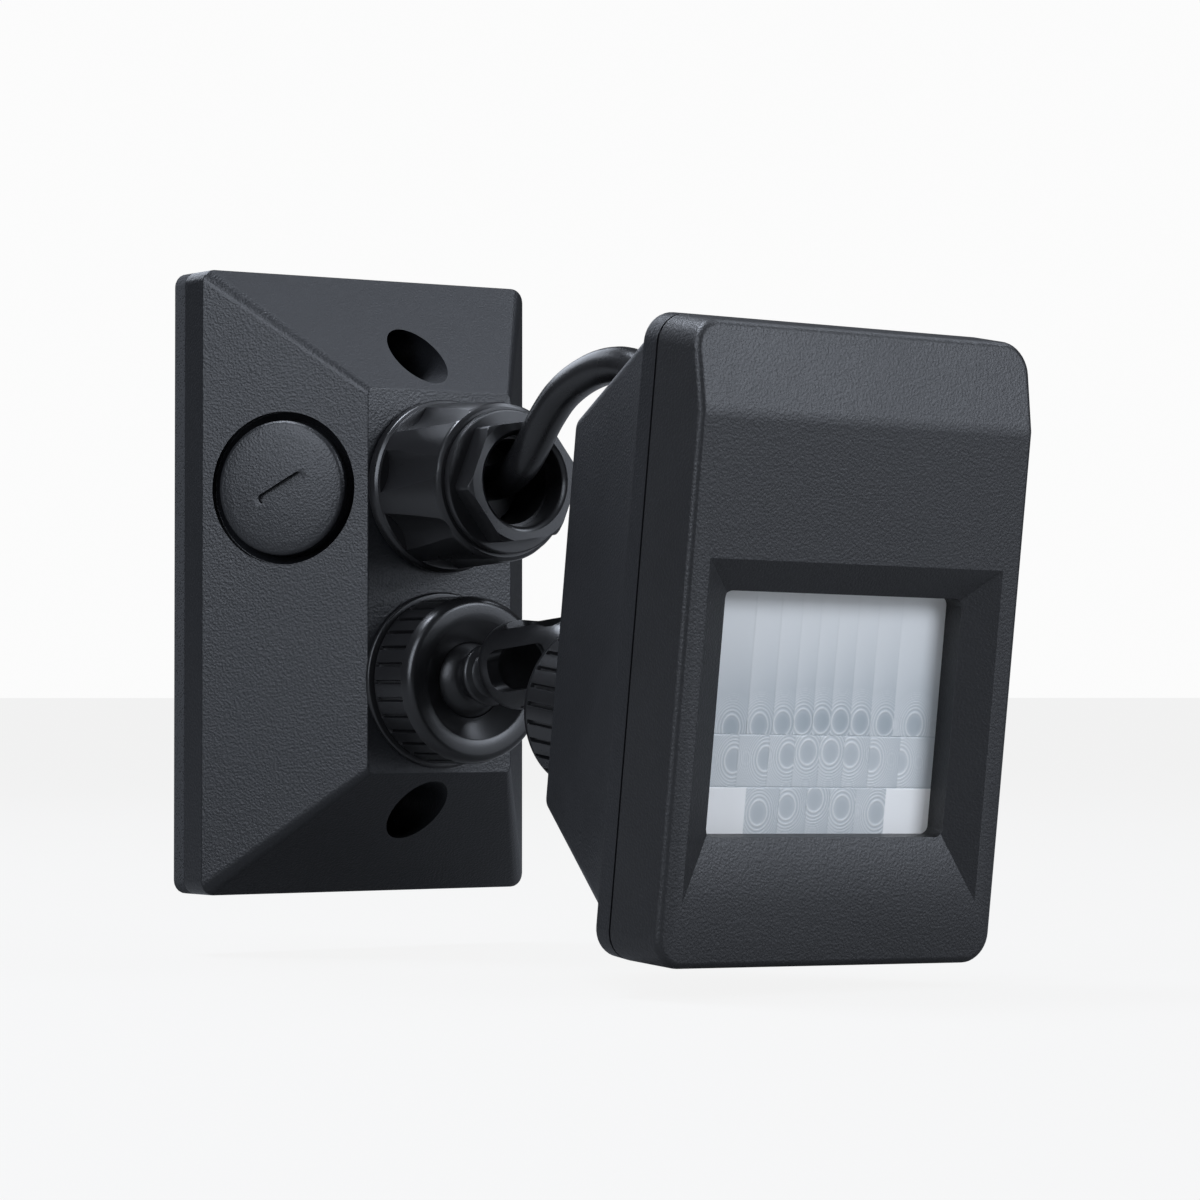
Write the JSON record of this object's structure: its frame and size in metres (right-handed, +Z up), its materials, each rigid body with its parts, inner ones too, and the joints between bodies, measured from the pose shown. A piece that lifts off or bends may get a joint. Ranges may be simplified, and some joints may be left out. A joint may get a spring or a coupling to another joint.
{
  "type": "outdoor motion sensor",
  "caption": "Outdoor motion sensor: wall cover with gasket, cable gland and closure plug; ball-jointed arm with locking collars; rectangular sensor head with a Fresnel lens.",
  "frame": {"origin": "centre of the gasket's back face, in the wall plane, midway between the two cover screws", "axes": "+X to the right seen from the front, +Y into the wall, +Z up"},
  "size_m": [0.0701, 0.1625, 0.1214],
  "materials": {
    "gasket_foam": "closed-cell foam, dark grey",
    "cover_plastic": "black, fine pebble texture",
    "gland_plastic": "black moulded nylon, satin",
    "arm_plastic": "black moulded nylon, semi-gloss",
    "seat_plastic": "dark grey acetal",
    "head_plastic": "black, fine leather-grain texture",
    "frame_plastic": "black moulded plastic",
    "lens": "milky polyethylene with moulded Fresnel rings",
    "seal_rubber": "black rubber",
    "lead_jacket": "black flexible jacket, satin",
    "locknut_zinc": "zinc-plated steel",
    "terminal_plastic": "natural nylon",
    "wire_insulation": "coloured insulation: black, white and red",
    "board": "green circuit board",
    "sensor_can": "plated steel can",
    "photo_resistor": "coated ceramic",
    "led_lens": "red translucent resin",
    "relay_case": "blue moulded case",
    "capacitor_case": "red-brown resin case",
    "dial_plastic": "light grey nylon",
    "dial_body": "dark grey moulded plastic",
    "screw_steel": "stainless steel"
  },
  "bodies": {
    "wall_unit": {"gasket": "gasket_foam", "cover_plate": "cover_plastic", "closure_plug": "cover_plastic", "plug_seal": "seal_rubber", "gland_body": "gland_plastic", "gland_locknut": "locknut_zinc", "coupling_nut": "gland_plastic", "gland_washer": "gland_plastic", "gland_nut": "gland_plastic", "gland_seal": "seal_rubber", "lead_cable": "lead_jacket", "terminal_block": "terminal_plastic", "cover_leads": "wire_insulation", "arm_hub": "gland_plastic", "arm_hub_locknut": "locknut_zinc"},
    "wall_collar": {"wall_collar": "gland_plastic"},
    "wall_seat": {"wall_ball_seat": "seat_plastic"},
    "arm": {"wall_ball": "arm_plastic", "arm_cage": "arm_plastic", "head_ball": "arm_plastic"},
    "head_seat": {"head_ball_seat": "seat_plastic"},
    "head": {"rear_housing": "head_plastic", "housing_seal": "seal_rubber", "front_bezel": "head_plastic", "fresnel_lens": "lens", "lens_frame": "frame_plastic", "circuit_board": "board", "pyro_sensor": "sensor_can", "light_sensor": "photo_resistor", "indicator_led": "led_lens", "relay": "relay_case", "mains_capacitor": "capacitor_case", "lead_header": "terminal_plastic", "board_leads": "wire_insulation", "dial_shafts": "dial_body", "housing_screws": "screw_steel", "cable_grommet": "seal_rubber"},
    "head_collar": {"head_collar": "gland_plastic"},
    "time_dial": {"time_dial": "dial_plastic"},
    "light_dial": {"light_dial": "dial_plastic"}
  },
  "joints": [
    {"name": "arm_turn", "type": "hinge", "parent": "wall_unit", "child": "wall_seat", "pos_m": [0, -0.0419, -0.0179], "axis": [0, 1, 0], "range_deg": [-15, 15], "deforming": ["lead_cable"]},
    {"name": "arm_tilt", "type": "hinge", "parent": "wall_seat", "child": "arm", "pos_m": [0, -0.0419, -0.0179], "axis": [1, 0, 0], "range_deg": [-12, 15], "deforming": ["lead_cable"]},
    {"name": "head_tilt", "type": "hinge", "parent": "arm", "child": "head_seat", "pos_m": [0, -0.09279, -0.02324], "axis": [1, 0, 0], "range_deg": [-4, 25], "deforming": ["lead_cable"]},
    {"name": "head_turn", "type": "hinge", "parent": "head_seat", "child": "head", "pos_m": [0, -0.09279, -0.02324], "axis": [0, 0.9932, 0.1167], "range_deg": [-20, 20], "deforming": ["lead_cable"]},
    {"name": "wall_collar_spin", "type": "hinge", "parent": "wall_unit", "child": "wall_collar", "pos_m": [0, -0.0419, -0.0179], "axis": [0, 1, 0], "range_deg": [0, 60]},
    {"name": "head_collar_spin", "type": "hinge", "parent": "head", "child": "head_collar", "pos_m": [0, -0.09279, -0.02324], "axis": [0, 0.9932, 0.1167], "range_deg": [0, 60]},
    {"name": "time_dial_turn", "type": "hinge", "parent": "head", "child": "time_dial", "pos_m": [-0.00937, -0.11003, -0.04621], "axis": [-0.0167, -0.1786, -0.9838], "range_deg": [-135, 135]},
    {"name": "light_dial_turn", "type": "hinge", "parent": "head", "child": "light_dial", "pos_m": [0.00863, -0.10999, -0.04652], "axis": [-0.0167, -0.1786, -0.9838], "range_deg": [-135, 135]}
  ]
}
